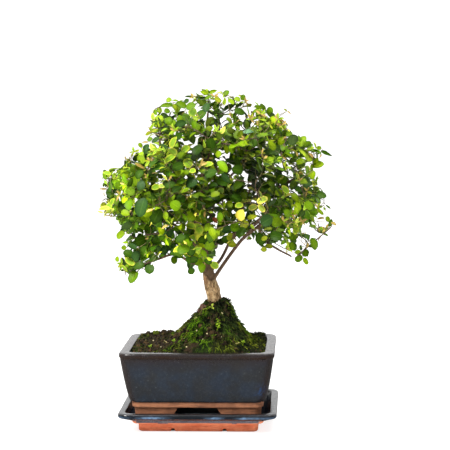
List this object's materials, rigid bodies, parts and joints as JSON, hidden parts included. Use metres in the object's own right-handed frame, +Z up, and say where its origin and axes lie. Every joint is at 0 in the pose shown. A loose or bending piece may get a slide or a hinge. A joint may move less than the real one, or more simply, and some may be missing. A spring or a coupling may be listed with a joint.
{
  "type": "sweet plum bonsai",
  "caption": "Small sweet plum bonsai tree with a domed crown of round glossy leaves, in a rectangular dark blue glazed pot on a matching drip tray",
  "frame": {"origin": "centre of the bounding box on the ground, under the tray", "axes": "+X along the pot to the viewer's right, +Y to the back, +Z up"},
  "size_m": [0.259, 0.21, 0.3581],
  "materials": {
    "tray_glaze": "gloss",
    "pot_glaze": "gloss",
    "screen_plastic": "matte",
    "soil": "matte",
    "bark": "matte",
    "leaves": "satin"
  },
  "bodies": {
    "root": {"pot": "pot_glaze", "screen_left": "screen_plastic", "screen_right": "screen_plastic", "soil": "soil", "spray_01": "leaves", "spray_02": "leaves", "spray_03": "leaves", "spray_04": "leaves", "spray_05": "leaves", "spray_06": "leaves", "spray_07": "leaves", "spray_08": "leaves", "spray_09": "leaves", "spray_10": "leaves", "spray_11": "leaves", "spray_12": "leaves", "spray_13": "leaves", "spray_14": "leaves", "spray_15": "leaves", "spray_16": "leaves", "spray_17": "leaves", "spray_18": "leaves", "spray_19": "leaves", "spray_20": "leaves", "spray_21": "leaves", "spray_22": "leaves", "spray_23": "leaves", "spray_24": "leaves", "spray_25": "leaves", "spray_26": "leaves", "spray_27": "leaves", "spray_28": "leaves", "spray_29": "leaves", "spray_30": "leaves", "spray_31": "leaves", "spray_32": "leaves", "spray_33": "leaves", "spray_34": "leaves", "spray_35": "leaves", "spray_36": "leaves", "spray_37": "leaves", "spray_38": "leaves", "spray_39": "leaves", "spray_40": "leaves", "spray_41": "leaves", "spray_42": "leaves", "spray_43": "leaves", "spray_44": "leaves", "spray_45": "leaves", "spray_46": "leaves", "spray_47": "leaves", "spray_48": "leaves", "spray_49": "leaves", "spray_50": "leaves", "spray_51": "leaves", "spray_52": "leaves", "tray": "tray_glaze", "trunk": "bark"}
  },
  "joints": []
}
